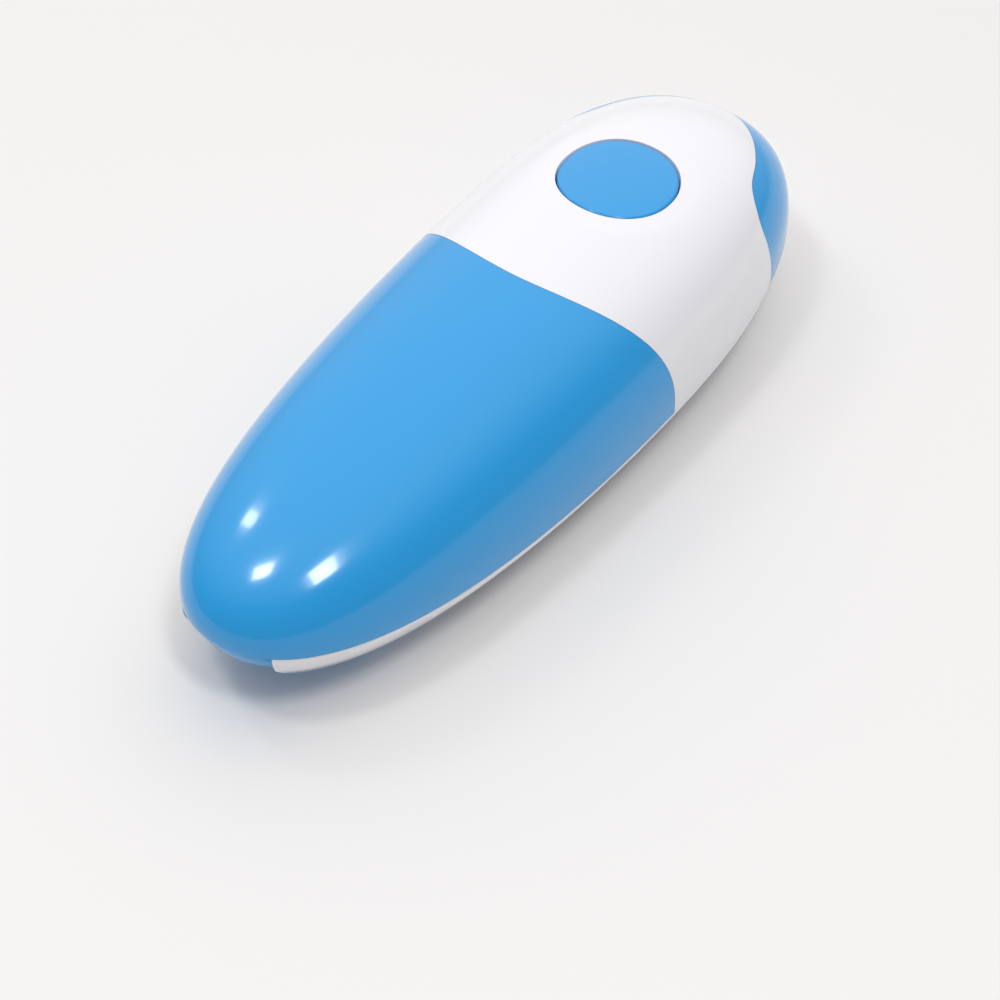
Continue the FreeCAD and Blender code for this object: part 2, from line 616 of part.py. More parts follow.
def make_carrier_pivot():
    pin = cylinder(2.0, 5.0, PLATE_Z + PLATE_THICKNESS, PIVOT_X, PIVOT_Y)
    head = cylinder(3.3, 3.9, 5.1, PIVOT_X, PIVOT_Y)
    return join([pin, head])


def make_carrier_spring():
    """Two turns round the pivot, joined by a bar, and a leg behind the carrier's post."""
    turns = [tube(3.15, 2.35, level, level + 0.7, PIVOT_X, PIVOT_Y) for level in (5.2, 6.2)]
    bar = box(PIVOT_X - 3.1, PIVOT_X - 2.4, PIVOT_Y - 0.4, PIVOT_Y + 0.4, 5.3, 6.8)
    leg = Part.makeBox(8.2, 0.8, 0.6)
    leg.rotate(V(0, 0, 0), V(0, 0, 1), 21.0)
    leg.translate(V(PIVOT_X + 1.75, PIVOT_Y - 2.6, 6.25))
    return join(turns + [bar, leg])


# ---- magnet -------------------------------------------------------------------------
MAGNET_X = 17.5
MAGNET_RADIUS = 5.5


def make_magnet_holder():
    cup = cylinder(7.0, 3.8, GUIDE_Z, MAGNET_X).cut(cylinder(MAGNET_RADIUS + 0.05, 3, 6.9, MAGNET_X))
    stake = cylinder(2.0, GUIDE_Z - 0.5, FLOOR_Z - 0.1, MAGNET_X)
    return join([cup, stake])


# ---- motor --------------------------------------------------------------------------
MOTOR_FRONT = CROWN_X_POS - CROWN_RADIUS - 4.6
CAN_LENGTH = 20.6
CAP_LENGTH = 4.4
MOTOR_RADIUS = 10.05
MOTOR_HALF_HEIGHT = 7.55


def motor_section(x_from, x_to, inset):
    """Round body with two flats, along X."""
    half = MOTOR_HALF_HEIGHT - inset
    body = rod(MOTOR_RADIUS - inset, x_from, x_to, MOTOR_Y, MOTOR_Z)
    return body.common(box(x_from, x_to, -60, 60, MOTOR_Z - half, MOTOR_Z + half))


def make_motor_can():
    back = MOTOR_FRONT - CAN_LENGTH
    can = motor_section(back, MOTOR_FRONT, 0.0)
    can = can.cut(motor_section(back - 1, MOTOR_FRONT - 0.8, 0.8))
    boss = rod(3.0, MOTOR_FRONT - 0.2, MOTOR_FRONT + 1.4, MOTOR_Y, MOTOR_Z)
    can = join([can, boss]).cut(rod(1.03, back, MOTOR_FRONT + 3, MOTOR_Y, MOTOR_Z))
    pilots = [rod(0.8, MOTOR_FRONT - 2, MOTOR_FRONT + 2, MOTOR_Y + y, MOTOR_Z) for y in (-6.5, 6.5)]
    return can.cut(Part.Compound(pilots))


def make_motor_end_cap():
    front = MOTOR_FRONT - CAN_LENGTH
    cap = motor_section(front - CAP_LENGTH, front, 0.4)
    plug = motor_section(front - 0.5, front + 1.5, 0.85)
    terminals = [box(front - 2.6, front - 2.2, MOTOR_Y + y - 1.2, MOTOR_Y + y + 1.2,
                     MOTOR_Z + 6, MOTOR_Z + 10.2) for y in (-4.0, 4.0)]
    solid = join([cap, plug] + terminals)
    return solid.cut(rod(1.03, front - CAP_LENGTH + 1, front + 3, MOTOR_Y, MOTOR_Z))


def make_motor_rotor():
    front = MOTOR_FRONT - CAN_LENGTH
    shaft = rod(1.0, front - CAP_LENGTH + 1.2, CROWN_X_POS - CROWN_RADIUS + 1.6, MOTOR_Y, MOTOR_Z)
    core = rod(5.2, front + 3.0, MOTOR_FRONT - 3.0, MOTOR_Y, MOTOR_Z)
    return join([shaft, core])


def make_motor_magnets():
    """Two curved magnets inside the can, above and below the rotor."""
    front = MOTOR_FRONT - CAN_LENGTH
    ring = rod(8.9, front + 2.5, MOTOR_FRONT - 2.0, MOTOR_Y, MOTOR_Z)
    ring = ring.cut(rod(5.7, front + 2, MOTOR_FRONT, MOTOR_Y, MOTOR_Z))
    sides = [box(front, MOTOR_FRONT, MOTOR_Y + low, MOTOR_Y + high, MOTOR_Z - 5.6, MOTOR_Z + 5.6)
             for low, high in ((-12.0, -4.5), (4.5, 12.0))]
    return Part.Compound([ring.common(side) for side in sides])


def make_motor_bracket():
    """Upright plate screwed to the motor's face, with a foot on the floor."""
    x = MOTOR_FRONT
    plate = box(x, x + 1.4, MOTOR_Y - 9.5, MOTOR_Y + 9.5, FLOOR_Z, MOTOR_Z + 7.0)
    foot = box(x - 4, x + 1.4, MOTOR_Y - 9.5, MOTOR_Y + 9.5, FLOOR_Z, FLOOR_Z + 1.4)
    bracket = join([plate, foot]).cut(rod(3.04, x - 1, x + 3, MOTOR_Y, MOTOR_Z))
    holes = [rod(1.0, x - 1, x + 3, MOTOR_Y + y, MOTOR_Z) for y in (-6.5, 6.5)]
    return bracket.cut(Part.Compound(holes))


def make_motor_screws():
    x = MOTOR_FRONT
    screws = []
    for y in (-6.5, 6.5):
        shank = rod(0.8, x - 1.8, x + 1.5, MOTOR_Y + y, MOTOR_Z)
        head = rod(1.5, x + 1.4, x + 2.4, MOTOR_Y + y, MOTOR_Z)
        screws.append(join([shank, head]))
    return Part.Compound(screws)


# ---- switch -------------------------------------------------------------------------
SWITCH_BODY_TOP = 32.7
SWITCH_TOP = 34.4
SPRING_TOP = 35.0
SPRING_WIRE = 0.3
BOARD_TOP = BOARD_Z + BOARD_THICKNESS
BOARD_SCREWS = [(BUTTON_X - 6.5, 8.5), (BUTTON_X + 6.5, -8.5)]


def make_switch_board():
    board = rounded_plate([(BUTTON_X - 8, -9.5), (BUTTON_X + 8, -9.5), (BUTTON_X + 8, 9.5),
                           (BUTTON_X - 8, 9.5)], 1.5, BOARD_Z, BOARD_TOP)
    holes = [cylinder(1.1, 0, 60, x, y) for x, y in BOARD_SCREWS]
    return board.cut(Part.Compound(holes))


def make_switch_body():
    body = box(BUTTON_X - 3, BUTTON_X + 3, -3, 3, BOARD_TOP, SWITCH_BODY_TOP)
    return body.cut(cylinder(1.75, BOARD_TOP + 1.0, 60, BUTTON_X))


def make_switch_plunger():
    return cylinder(1.7, BOARD_TOP + 2.4, SWITCH_TOP, BUTTON_X)


def make_button_spring():
    """Open coil spring between the board and the seat under the button."""
    low = BOARD_TOP + SPRING_WIRE
    turns = 4.0
    radius = 5.3
    height = SPRING_TOP - SPRING_WIRE - low
    helix = Part.makeHelix(height / turns, height, radius)
    section = Part.Wire(Part.Circle(V(radius, 0, 0), V(0, 1, 0), SPRING_WIRE).toShape())
    coil = Part.Wire(helix.Edges).makePipeShell([section], True, True)
    coil.translate(V(BUTTON_X, 0, low))
    return coil


def screw(x, y, tip, seat, shank_radius, head_radius, head_height, direction):
    """Cross-recess screw; direction is +1 with the head on top and -1 with the head below."""
    head_end = seat + direction * head_height
    shank = cylinder(shank_radius, min(tip, seat), max(tip, seat), x, y)
    head = cylinder(head_radius, min(seat, head_end), max(seat, head_end), x, y)
    depth = head_height * 0.6
    low = min(head_end, head_end - direction * depth)
    cross = join([box(x - head_radius * 0.6, x + head_radius * 0.6, y - 0.25, y + 0.25, low, low + depth),
                  box(x - 0.25, x + 0.25, y - head_radius * 0.6, y + head_radius * 0.6, low, low + depth)])
    return join([shank, head]).cut(cross)


def make_housing_screws():
    seat = GUIDE_Z + 2.4
    screws = [screw(x, y, 29.0, seat, 1.2, 2.7, 1.6, -1) for x, y in HEAD_SCREWS]
    screws += [screw(x, y, 25.0, seat, 1.2, 2.7, 1.6, -1) for x, y in TAIL_SCREWS]
    return Part.Compound(screws)


def make_plate_screws():
    seat = PLATE_Z + PLATE_THICKNESS
    return Part.Compound([screw(x, y, 6.0, seat, 0.8, 1.9, 1.0, 1) for x, y in PLATE_SCREWS])


def make_board_screws():
    return Part.Compound([screw(x, y, COVER_Z + 0.1, BOARD_TOP, 0.75, 1.6, 1.0, 1)
                          for x, y in BOARD_SCREWS])


# ---- batteries ----------------------------------------------------------------------
def make_battery_tray():
    half = DOOR_HALF_WIDTH - 0.7
    outer = half + 1.2
    low = FLOOR_Z + 0.3
    walls = []
    for y in (-outer, half):
        walls.append(box(-66.0, TRAY_FRONT_X + 1.2, y, y + 1.2, low, CELL_Z + 0.5))
        walls.append(box(TRAY_TAIL_X - 1.2, -65.0, y, y + 1.2, low + 3, CELL_Z + 0.5))
    ends = [box(TRAY_TAIL_X - 1.2, TRAY_TAIL_X, -outer, outer, low + 3, 21.0),
            box(TRAY_FRONT_X, TRAY_FRONT_X + 1.2, -outer, outer, 15.0, 24.0),
            box(TRAY_FRONT_X, TRAY_FRONT_X + 1.2, -11.5, 11.5, low + 1.2, 16.0)]
    straps = []
    for x in (-60.0, -38.0):
        bar = box(x, x + 6, -outer, outer, CELL_Z, 26.4)
        straps.append(bar.cut(box(x - 1, x + 7, -half, half, 0, 25.2)))
    return join(walls + ends + straps)


def make_cell(y, nub_side):
    """Round cell with a flat base and a small nub at the end that nub_side points to."""
    base = TRAY_TAIL_X + CONTACT_THICKNESS + CONTACT_SPRING
    body = rod(CELL_RADIUS, base, base + CELL_LENGTH - 1.0, y, CELL_Z)
    nub = rod(2.7, base + CELL_LENGTH - 1.2, base + CELL_LENGTH, y, CELL_Z)
    cell = join([body, nub])
    if nub_side < 0:
        middle = (TRAY_TAIL_X + TRAY_FRONT_X) / 2
        cell.rotate(V(middle, y, CELL_Z), V(0, 0, 1), 180)
    return cell


CONTACT_SPRING = TRAY_FRONT_X - TRAY_TAIL_X - 2 * CONTACT_THICKNESS - CELL_LENGTH


def contact_coil(x_from, direction, y):
    """Cone of three spring turns, joined by bars, that presses on the flat end of a cell."""
    wire = 0.6
    step = (CONTACT_SPRING - wire - 0.1) / 2
    shapes = []
    for turn in range(3):
        outer = 3.6 - wire * turn
        shapes.append(tube(outer, outer - wire, step * turn, step * turn + wire))
    for turn in range(2):
        radius = (3.0 - wire * turn) * (-1) ** turn
        low = step * turn + 0.1
        shapes.append(box(radius - 0.3, radius + 0.3, -0.3, 0.3, low, low + step + wire - 0.2))
    coil = join(shapes)
    coil.rotate(V(0, 0, 0), V(0, 1, 0), 90 * direction)
    coil.translate(V(x_from, y, CELL_Z))
    return coil


def make_contact_bridge():
    return box(TRAY_TAIL_X, TRAY_TAIL_X + CONTACT_THICKNESS, -12.5, 12.5, CELL_Z - 4, CELL_Z + 3.2)


def make_contact_front(y):
    front = TRAY_FRONT_X
    return box(front - CONTACT_THICKNESS, front, y - 4.5, y + 4.5, CELL_Z - 4, CELL_Z + 6)


# ---- all nodes ----------------------------------------------------------------------
def make_nodes():
    nodes = make_covers()
    nodes["drive_gear"] = make_drive_gear()
    nodes["drive_shaft"] = make_drive_shaft()
    nodes["drive_wheel"] = make_drive_wheel()
    nodes["third_gear"] = make_third_gear()
    nodes["third_axle"] = make_axle(1.5, THIRD_X, THIRD_Y)
    nodes["middle_gear"] = make_middle_gear()
    nodes["crown_gear"] = make_crown_gear()
    nodes["crown_axle"] = make_axle(1.0, CROWN_X_POS, MOTOR_Y)
    nodes["motor_pinion"] = make_motor_pinion()
    nodes["mechanism_plate"] = make_mechanism_plate()
    nodes["gearbox_cover"] = make_gearbox_cover()
    nodes["gearbox_posts"] = make_gearbox_posts()
    nodes["lower_bush"] = make_lower_bush()
    nodes["upper_bush"] = make_upper_bush()
    nodes["cutter_carrier"] = make_cutter_carrier()
    nodes["cutter_wheel"] = make_cutter_wheel()
    nodes["cutter_screw"] = make_cutter_screw()
    nodes["carrier_pivot"] = make_carrier_pivot()
    nodes["carrier_spring"] = make_carrier_spring()
    nodes["magnet_holder"] = make_magnet_holder()
    nodes["lid_magnet"] = cylinder(MAGNET_RADIUS, 4.1, 6.9, MAGNET_X)
    nodes["motor_can"] = make_motor_can()
    nodes["motor_end_cap"] = make_motor_end_cap()
    nodes["motor_rotor"] = make_motor_rotor()
    nodes["motor_magnets"] = make_motor_magnets()
    nodes["motor_bracket"] = make_motor_bracket()
    nodes["motor_screws"] = make_motor_screws()
    nodes["switch_board"] = make_switch_board()
    nodes["switch_body"] = make_switch_body()
    nodes["switch_plunger"] = make_switch_plunger()
    nodes["button_spring"] = make_button_spring()
    nodes["housing_screws"] = make_housing_screws()
    nodes["plate_screws"] = make_plate_screws()
    nodes["board_screws"] = make_board_screws()
    nodes["battery_tray"] = make_battery_tray()
    nodes["battery_cell_left"] = make_cell(CELL_Y, 1)
    nodes["battery_cell_right"] = make_cell(-CELL_Y, -1)
    nodes["contact_bridge"] = make_contact_bridge()
    nodes["contact_front_left"] = make_contact_front(CELL_Y)
    nodes["contact_front_right"] = make_contact_front(-CELL_Y)
    nodes["contact_coil_tail"] = contact_coil(TRAY_TAIL_X + CONTACT_THICKNESS, 1, CELL_Y)
    nodes["contact_coil_front"] = contact_coil(TRAY_FRONT_X - CONTACT_THICKNESS, -1, -CELL_Y)
    return nodes


def main():
    os.makedirs("parts", exist_ok=True)
    for name, shape in make_nodes().items():
        size = shape.BoundBox
        print(name, shape.isValid(), len(shape.Solids), round(shape.Volume, 1),
              [round(v, 2) for v in (size.XMin, size.XMax, size.YMin, size.YMax, size.ZMin, size.ZMax)])
        shape.exportStep("parts/" + name + ".step")


main()
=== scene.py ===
import json
import math

import bpy
import numpy as np
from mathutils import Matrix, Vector


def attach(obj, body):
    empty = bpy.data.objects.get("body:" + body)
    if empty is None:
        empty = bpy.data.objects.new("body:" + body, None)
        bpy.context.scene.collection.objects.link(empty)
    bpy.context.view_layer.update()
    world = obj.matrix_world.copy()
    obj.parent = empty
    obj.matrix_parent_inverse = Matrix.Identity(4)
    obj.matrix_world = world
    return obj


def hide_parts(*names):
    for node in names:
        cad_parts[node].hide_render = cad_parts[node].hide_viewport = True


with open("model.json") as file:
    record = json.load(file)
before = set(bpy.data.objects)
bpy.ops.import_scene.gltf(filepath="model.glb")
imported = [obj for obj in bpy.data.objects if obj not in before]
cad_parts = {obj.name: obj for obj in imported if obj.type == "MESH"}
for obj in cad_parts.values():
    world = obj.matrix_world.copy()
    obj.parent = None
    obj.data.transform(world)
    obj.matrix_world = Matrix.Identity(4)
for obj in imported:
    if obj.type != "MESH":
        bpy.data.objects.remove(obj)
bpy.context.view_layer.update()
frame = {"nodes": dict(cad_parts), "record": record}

MM = 0.001

# ---- body shape, in millimetres: the CAD body, a few hundredths smaller ---------------
HALF_LENGTH = 90.06
HALF_WIDTH = 32.46
OUTLINE_POWER = 0.925
HEAD_WIDER = 0.156
ENDS_FULLER = 0.202
DOME_HEIGHT = 29.4
DOME_POWER = 2.478
CROWN_X = 28.6
PARTING_BOW = 8.1
PART_Z = 10.5
WALL = 2.0
SEAM_X = 4.8
SEAM_CURVE = 0.0105
HALF_GAP = 0.06
BUTTON_X = 42.7
BUTTON_HALF_LENGTH = 12.7
BUTTON_HALF_WIDTH = 12.5
BUTTON_POWER = 0.95
BUTTON_PROUD = -0.1
BUTTON_GAP = 0.4
BUTTON_RIM = 0.5
BUTTON_WALL = 1.8
BUTTON_THICKNESS = 1.4
BUTTON_SIDE_Z = 36.0
FLANGE_WIDTH = 1.2
FLANGE_LOW = 33.7
FLANGE_HIGH = 34.6
DISH_DEPTH = 0.4
DISH_WIDTH = 5.0
CAP_EDGE = [(85.2, 0.0), (83.3, 5.5), (77.8, 12.0), (70.8, 17.0), (63.4, 20.6), (59.3, 24.6),
            (57.7, 28.4), (59.5, 36.0)]
EDGE_ROUNDING = 0.06
FIRST_RING = 0.4
LEAST_SKIN = 0.02
SEAM_FADE = 8.0
TAIL_CENTRE = np.array([-34.0, 0.0])
BUTTON_CENTRE = np.array([BUTTON_X, 0.0])
CROWN_CENTRE = np.array([CROWN_X, 0.0])

# ---- springs, in millimetres ----------------------------------------------------------
WIRE_RADIUS = 0.3
CELL_Y = 7.6
CELL_Z = 17.6
TAIL_CONTACT_X = -72.6
FRONT_CONTACT_X = -18.4
COIL_WIDE = 3.3
COIL_NARROW = 2.1
COIL_HEIGHT = 2.9
COIL_TURNS = 4.5
PIVOT_X = 50.0
PIVOT_Y = -13.0
SPRING_RADIUS = 2.75
SPRING_TURNS = 1.5
SPRING_LOW = 5.55
SPRING_HIGH = 6.55
SPRING_END = math.radians(-69)
SPRING_LEG = 8.8

# ---- look ----------------------------------------------------------------------------
CAMERA_AT = Vector((-0.2940, -0.2022, 0.37495))
CAMERA_TARGET = Vector((-0.03079, -0.02515, 0.030))
CAMERA_ROLL = math.radians(1.671)
CAMERA_LENS = 88.8
CAMERA_SHIFT = (-0.0127, -0.0311)
CAMERA_SENSOR = 36.0
LAMPS_TARGET = Vector((-0.075, -0.003, 0.03))
GLOW_DIRECTION = (0.434, 0.304, 0.848)
GLOW_EDGE = 0.25
GLOW_COLOUR = (1.0, 0.985, 0.98, 1)
GLOW_STRENGTH = 1.2
ROOM_STRENGTH = 0.42
FLOOR_HALF = 6.0
FLOOR_COLOUR = (0.78, 0.775, 0.77)
BLUE = (0.003, 0.305, 0.70)
WHITE = (0.80, 0.80, 0.84)


# ---- surface of the body --------------------------------------------------------------
def signed_power(value, power):
    return np.sign(value) * np.abs(value) ** power


def outline(angle, inset):
    """Plan outline of the body on its parting edge, moved inward by inset."""
    c = np.cos(angle)
    x = (HALF_LENGTH - inset) * signed_power(c, OUTLINE_POWER)
    y = (HALF_WIDTH - inset) * signed_power(np.sin(angle), OUTLINE_POWER)
    return x, y * (1 + HEAD_WIDER * c + ENDS_FULLER * c * c)


def parting_rise(x):
    return PARTING_BOW * (x / HALF_LENGTH) ** 2


class Dome:
    """The dome above the parting edge, moved inward by inset, as a height over the plan."""

    def __init__(self, inset=0.0):
        self.top = DOME_HEIGHT - inset
        x, y = outline(np.linspace(0, math.pi, 40001), inset)
        self.direction = np.arctan2(y, x - CROWN_X)
        self.reach = np.hypot(x - CROWN_X, y)
        self.edge = parting_rise(x)

    def share(self, x, y):
        """Distance from the crown as a share of the way to the outline, and the edge's rise there."""
        direction = np.arctan2(np.abs(y), x - CROWN_X)
        reach = np.interp(direction, self.direction, self.reach)
        edge = np.interp(direction, self.direction, self.edge)
        return np.hypot(x - CROWN_X, y) / reach, edge

    def height(self, x, y):
        share, edge = self.share(x, y)
        rise = (1 - np.minimum(share, 1.0) ** DOME_POWER) ** (1 / DOME_POWER)
        return PART_Z + edge + rise * (self.top - edge)

    def level_set(self, x, y, z):
        share, edge = self.share(x, y)
        rise = (z - PART_Z - edge) / (self.top - edge)
        return share ** DOME_POWER + np.abs(rise) ** DOME_POWER

    def normal(self, points):
        """Unit outward normal at points on the dome."""
        step = 0.02
        x, y, z = points[..., 0], points[..., 1], points[..., 2]
        gx = self.level_set(x + step, y, z) - self.level_set(x - step, y, z)
        gy = self.level_set(x, y + step, z) - self.level_set(x, y - step, z)
        gz = self.level_set(x, y, z + step) - self.level_set(x, y, z - step)
        gradient = np.stack([gx, gy, gz], axis=-1)
        return gradient / np.linalg.norm(gradient, axis=-1, keepdims=True)

    def lift(self, plan):
        """Plan points (x, y) put on the dome."""
        z = self.height(plan[..., 0], plan[..., 1])
        return np.concatenate([plan, z[..., None]], axis=-1)


DOME = Dome()


# ---- plan outlines of the covers --------------------------------------------------------
def unit_vectors(directions):
    return np.stack([np.cos(directions), np.sin(directions)], axis=-1)


def smooth_line(points, steps):
    """Catmull-Rom curve through points, with steps pieces between neighbours."""
    p = np.array(points, float)
    p = np.vstack([2 * p[0] - p[1], p, 2 * p[-1] - p[-2]])
    line = []
    for k in range(1, len(p) - 2):
        for t in np.linspace(0, 1, steps, endpoint=False):
            a = 2 * p[k]
            b = (p[k + 1] - p[k - 1]) * t
            c = (2 * p[k - 1] - 5 * p[k] + 4 * p[k + 1] - p[k + 2]) * t ** 2
            d = (3 * p[k] - p[k - 1] - 3 * p[k + 1] + p[k + 2]) * t ** 3
            line.append((a + b + c + d) / 2)
    line.append(p[-2])
    return np.array(line)


def seam_line(shift):
    """Seam between the tail cover and the head, moved towards the nose by shift."""
    y = np.linspace(-40, 40, 401)
    return np.stack([SEAM_X + shift + SEAM_CURVE * y ** 2, y], axis=-1)


def cap_line(gap):
    """The cap's inner edge, from one side of the body to the other, moved about gap outward."""
    step = 0.7 * gap
    half = [(x + step, y + (step if y else 0.0)) for x, y in CAP_EDGE]
    mirrored = [(x, -y) for x, y in reversed(half[1:])]
    return smooth_line(mirrored + half, 24)


def button_line(grow, angle):
    """The button's outline about its own centre, moved outward by grow."""
    x = (BUTTON_HALF_LENGTH + grow) * signed_power(np.cos(angle), BUTTON_POWER)
    y = (BUTTON_HALF_WIDTH + grow) * signed_power(np.sin(angle), BUTTON_POWER)
    return np.stack([x, y], axis=-1)


def ray_reach(centre, direction, line):
    """Distance from centre along each direction to an open or closed line of points."""
    a = line[:-1] - centre
    b = line[1:] - centre
    u = unit_vectors(direction)
    side_a = u[:, None, 0] * a[None, :, 1] - u[:, None, 1] * a[None, :, 0]
    side_b = u[:, None, 0] * b[None, :, 1] - u[:, None, 1] * b[None, :, 0]
    crossing = (side_a <= 0) != (side_b <= 0)
    with np.errstate(divide="ignore", invalid="ignore"):
        t = side_a / (side_a - side_b)
    point = a[None] + t[..., None] * (b - a)[None]
    along = point[..., 0] * u[:, None, 0] + point[..., 1] * u[:, None, 1]
    along = np.where(crossing & (along > 0), along, np.inf)
    return along.min(axis=1)


def outline_line():
    """The body's outline as a closed line of points."""
    x, y = outline(np.linspace(0, 2 * math.pi, 4001), 0.0)
    line = np.stack([x, y], axis=-1)
    line[-1] = line[0]
    return line


def corner_directions(centre, line_a, line_b):
    """Directions from centre to the points where two lines cross, from -pi to pi."""
    found = []
    for k in range(len(line_a) - 1):
        p, q = line_a[k], line_a[k + 1]
        d = q - p
        e = line_b[1:] - line_b[:-1]
        w = line_b[:-1] - p
        cross = d[0] * e[:, 1] - d[1] * e[:, 0]
        with np.errstate(divide="ignore", invalid="ignore"):
            t = (w[:, 0] * e[:, 1] - w[:, 1] * e[:, 0]) / cross
            s = (w[:, 0] * d[1] - w[:, 1] * d[0]) / cross
        for hit in np.nonzero((t >= 0) & (t < 1) & (s >= 0) & (s < 1))[0]:
            point = p + t[hit] * d
            found.append(math.atan2(point[1] - centre[1], point[0] - centre[0]))
    return sorted(found)


def crowded(start, stop, steps, power):
    """Values from start towards stop, closer together near both for a power above 1."""
    t = np.linspace(0, 1, steps, endpoint=False)
    share = np.where(t < 0.5, 0.5 * (2 * t) ** power, 1 - 0.5 * (2 - 2 * t) ** power)
    return start + (stop - start) * share


def directions_through(corners, count, on_seam):
    """About count directions all the way round, which include every corner direction.
    They crowd to the corners where the cover ends on a seam, because the seam drops steeply there."""
    marks = corners + [corners[0] + 2 * math.pi]
    angles = []
    for start, stop in zip(marks[:-1], marks[1:]):
        steps = max(24, round(count * (stop - start) / (2 * math.pi)))
        power = DOME_POWER if on_seam((start + stop) / 2) else 1.0
        angles.extend(crowded(start, stop, steps, power))
    return np.array(angles)


# ---- meshes from grids --------------------------------------------------------------------
def grid_faces(rows, columns, closed, flip=False, offset=0):
    """Four-sided faces between rows of points. Closed rows join their last point to their first."""
    faces = []
    last = columns if closed else columns - 1
    for r in range(rows - 1):
        for c in range(last):
            n = (c + 1) % columns
            face = (r * columns + c, r * columns + n, (r + 1) * columns + n, (r + 1) * columns + c)
            faces.append(tuple(offset + i for i in (reversed(face) if flip else face)))
    return faces


def new_piece(name, points, faces, materials, slot, body):
    """Smooth-shaded piece of points in millimetres."""
    mesh = bpy.data.meshes.new(name)
    mesh.from_pydata([tuple(p * MM) for p in points], [], faces)
    mesh.validate()
    mesh.polygons.foreach_set("use_smooth", [True] * len(mesh.polygons))
    mesh.materials.append(materials[slot])
    piece = bpy.data.objects.new(name, mesh)
    bpy.context.scene.collection.objects.link(piece)
    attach(piece, body)
    return piece


def round_edges(piece):
    bevel = piece.modifiers.new("rounded_edges", "BEVEL")
    bevel.width = EDGE_ROUNDING * MM
    bevel.segments = 3
    bevel.limit_method = "ANGLE"
    bevel.angle_limit = math.radians(40)
    bevel.harden_normals = True


def dish(distance):
    """How far the skin sinks at a distance from the button's opening."""
    near = np.clip(1 - distance / DISH_WIDTH, 0, 1)
    return DISH_DEPTH * near * near * (3 - 2 * near)


def dome_skins(centre, directions, start, reach, rows, crowding):
    """Outer skin on the dome from start to reach along each direction, inner skin one wall below it,
    and the distance of each point from centre. A higher crowding puts the rows closer to reach."""
    w = np.linspace(0, 1, rows)[:, None]
    share = 1 - (1 - w) ** crowding
    distance = start + (reach - start) * share
    outer = DOME.lift(centre + distance[..., None] * unit_vectors(directions)[None])
    inner = outer - WALL * DOME.normal(outer)
    return outer, inner, distance


def polar_cover(name, centre, reach, directions, hole, rows, crowding, materials, slot):
    """Closed shell over the plan area seen from centre. hole is the distance from centre to the
    start of the skin on each direction, or None for a skin with no opening."""
    start = hole if hole is not None else np.full(len(directions), FIRST_RING)
    outer, inner, distance = dome_skins(centre, directions, start, reach, rows, crowding)
    if hole is not None:
        outer[..., 2] -= dish(distance - start)
    columns = len(directions)
    points = list(outer.reshape(-1, 3)) + list(inner.reshape(-1, 3))
    faces = grid_faces(rows, columns, True)
    half = rows * columns
    faces += grid_faces(rows, columns, True, flip=True, offset=half)
    outer_rim = (rows - 1) * columns
    for c in range(columns):
        n = (c + 1) % columns
        faces.append((outer_rim + c, outer_rim + n, half + outer_rim + n, half + outer_rim + c))
    if hole is None:
        top = DOME.lift(centre[None])
        points.append(top[0])
        points.append((top - WALL * DOME.normal(top))[0])
        for c in range(columns):
            n = (c + 1) % columns
            faces.append((2 * half, n, c))
            faces.append((2 * half + 1, half + c, half + n))
    else:
        for c in range(columns):
            n = (c + 1) % columns
            faces.append((n, c, half + c, half + n))
    faces = [tuple(reversed(face)) for face in faces]
    return new_piece(name, points, faces, materials, slot, "housing")


# ---- materials ----------------------------------------------------------------------------
def new_material(name, colour):
    material = bpy.data.materials.new(name)
    material.use_nodes = True
    shader = material.node_tree.nodes["Principled BSDF"]
    shader.inputs["Base Color"].default_value = (*colour, 1)
    return material, shader


def add_noise(tree, place, scale, detail):
    noise = tree.nodes.new("ShaderNodeTexNoise")
    noise.inputs["Scale"].default_value = scale
    noise.inputs["Detail"].default_value = detail
    tree.links.new(place.outputs["Object"], noise.inputs["Vector"])
    return noise


def vary_roughness(tree, shader, noise, low, high):
    spread = tree.nodes.new("ShaderNodeMapRange")
    spread.inputs["To Min"].default_value = low
    spread.inputs["To Max"].default_value = high
    tree.links.new(noise.outputs["Fac"], spread.inputs["Value"])
    tree.links.new(spread.outputs["Result"], shader.inputs["Roughness"])


def add_relief(tree, shader, noise, strength):
    relief = tree.nodes.new("ShaderNodeBump")
    relief.inputs["Strength"].default_value = strength
    relief.inputs["Distance"].default_value = 0.0002
    tree.links.new(noise.outputs["Fac"], relief.inputs["Height"])
    tree.links.new(relief.outputs["Normal"], shader.inputs["Normal"])


def plastic(name, colour, roughness, coat, bump=0.02):
    """Moulded plastic: uneven roughness in broad patches, and a fine ripple."""
    material, shader = new_material(name, colour)
    shader.inputs["IOR"].default_value = 1.52
    shader.inputs["Coat Weight"].default_value = coat
    shader.inputs["Coat Roughness"].default_value = 0.06
    shader.inputs["Coat IOR"].default_value = 1.5
    tree = material.node_tree
    place = tree.nodes.new("ShaderNodeTexCoord")
    patches = add_noise(tree, place, 90.0, 3.0)
    vary_roughness(tree, shader, patches, roughness * 0.85, roughness * 1.15)
    ripple = add_noise(tree, place, 700.0, 2.0)
    add_relief(tree, shader, ripple, bump)
    return material


def matt(name, colour, roughness):
    return plastic(name, colour, roughness, 0.0, bump=0.08)


def metal(name, colour, roughness):
    material, shader = new_material(name, colour)
    shader.inputs["Metallic"].default_value = 1.0
    tree = material.node_tree
    place = tree.nodes.new("ShaderNodeTexCoord")
    grain = add_noise(tree, place, 400.0, 4.0)
    vary_roughness(tree, shader, grain, roughness * 0.8, roughness * 1.25)
    add_relief(tree, shader, grain, 0.05)
    return material


